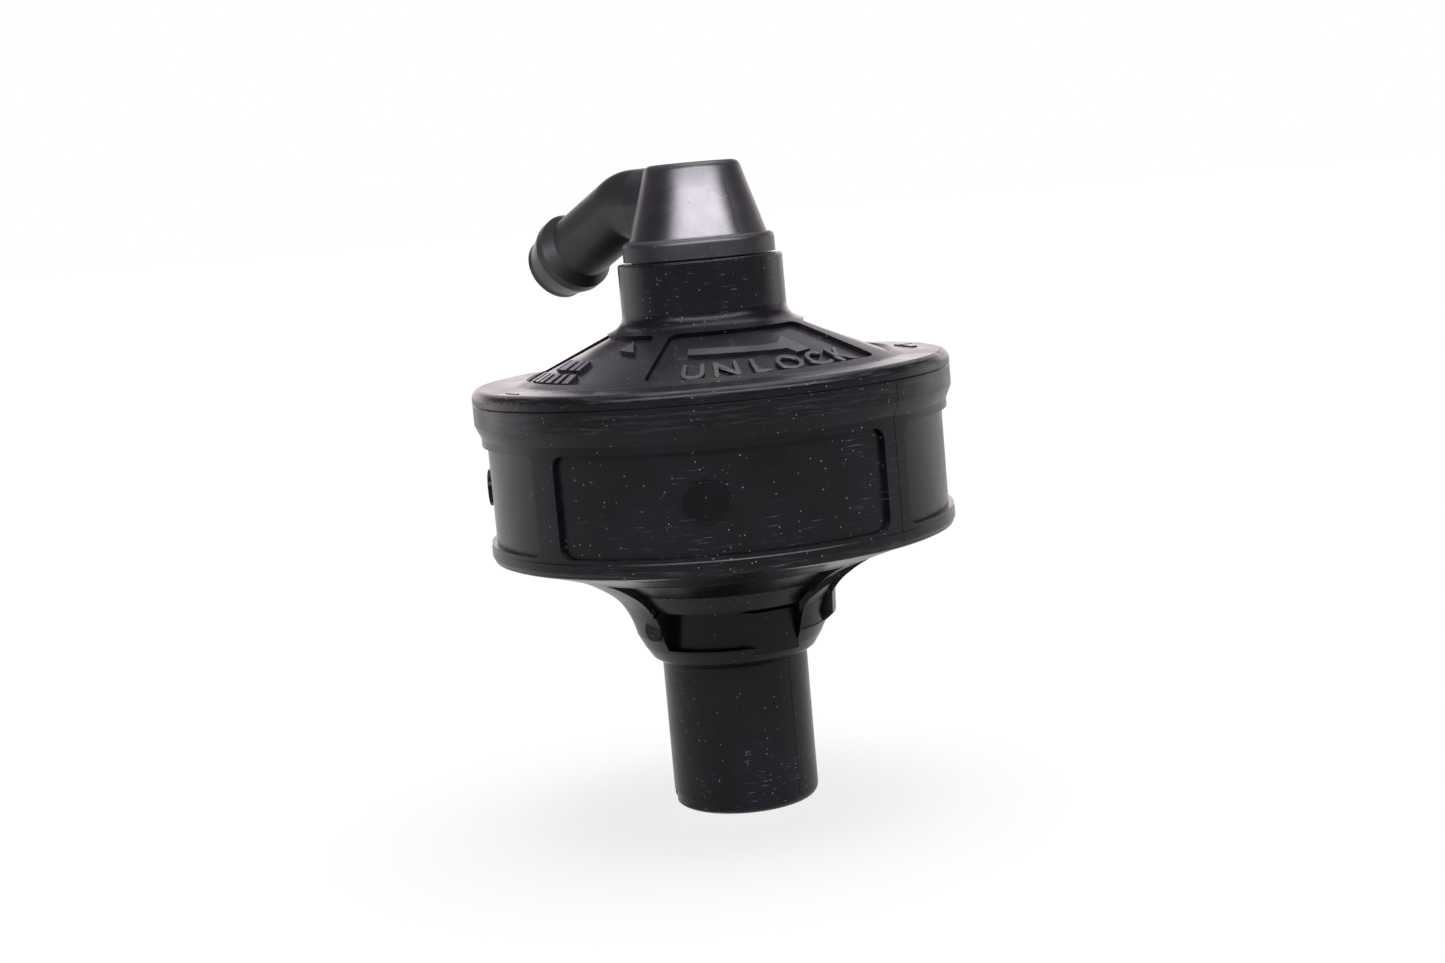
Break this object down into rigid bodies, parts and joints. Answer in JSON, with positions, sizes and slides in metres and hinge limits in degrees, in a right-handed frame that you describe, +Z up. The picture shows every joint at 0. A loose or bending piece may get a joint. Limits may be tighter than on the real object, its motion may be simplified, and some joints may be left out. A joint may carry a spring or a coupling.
{
  "type": "twist-lock diaphragm vent valve",
  "caption": "Twist-lock diaphragm valve: drum housing with conical cover, swivelling elbow with hose barb on top, and a bayonet neck with a plain spigot below.",
  "frame": {"origin": "on the valve's axis, at the open end of the bottom spigot", "axes": "+Z up along the axis from the spigot to the elbow; -Y is the side seen from the front; the elbow leaves towards -X +Y at rest"},
  "size_m": [0.0824, 0.0824, 0.1115],
  "materials": {
    "housing_plastic": "black injection-moulded, satin, scuffed",
    "elbow_plastic": "black injection-moulded, semi-gloss",
    "inner_plastic": "dark grey moulded",
    "seal_rubber": "black seal rubber",
    "diaphragm_rubber": "fabric-reinforced rubber",
    "silicone": "translucent red-brown silicone",
    "spring_steel": "spring steel",
    "zinc_steel": "zinc plated",
    "separator_fleece": "needled polyester fleece",
    "foam": "open-cell foam"
  },
  "bodies": {
    "housing": {"body": "housing_plastic", "cover": "housing_plastic", "cover_oring": "seal_rubber", "outlet_seat": "inner_plastic", "seat_gasket": "seal_rubber", "bypass_umbrella_valve": "silicone", "regulating_spring": "spring_steel", "diaphragm": "diaphragm_rubber", "reference_cup": "inner_plastic", "vent_filter": "foam", "diaphragm_clamp_ring": "zinc_steel", "clamp_screws": "zinc_steel", "mesh_support_grid": "inner_plastic", "mesh_separator": "separator_fleece", "mesh_retainer": "inner_plastic", "splash_baffle": "inner_plastic"},
    "elbow": {"swivel_elbow": "elbow_plastic", "elbow_oring": "seal_rubber", "elbow_snap_ring": "spring_steel"},
    "valve": {"valve_plate": "inner_plastic", "backing_plate": "inner_plastic", "plate_washer": "zinc_steel", "stem_clip": "spring_steel"}
  },
  "joints": [
    {"name": "elbow_swivel", "type": "hinge", "parent": "housing", "child": "elbow", "pos_m": [0, 0, 0.09], "axis": [0, 0, 1], "continuous": true},
    {"name": "plate_lift", "type": "slide", "parent": "housing", "child": "valve", "axis": [0, 0, 1], "range_m": [0, 0.0029], "stiffness_N_per_m": 150, "springref_m": -0.006, "deforming": ["regulating_spring", "diaphragm"]}
  ]
}
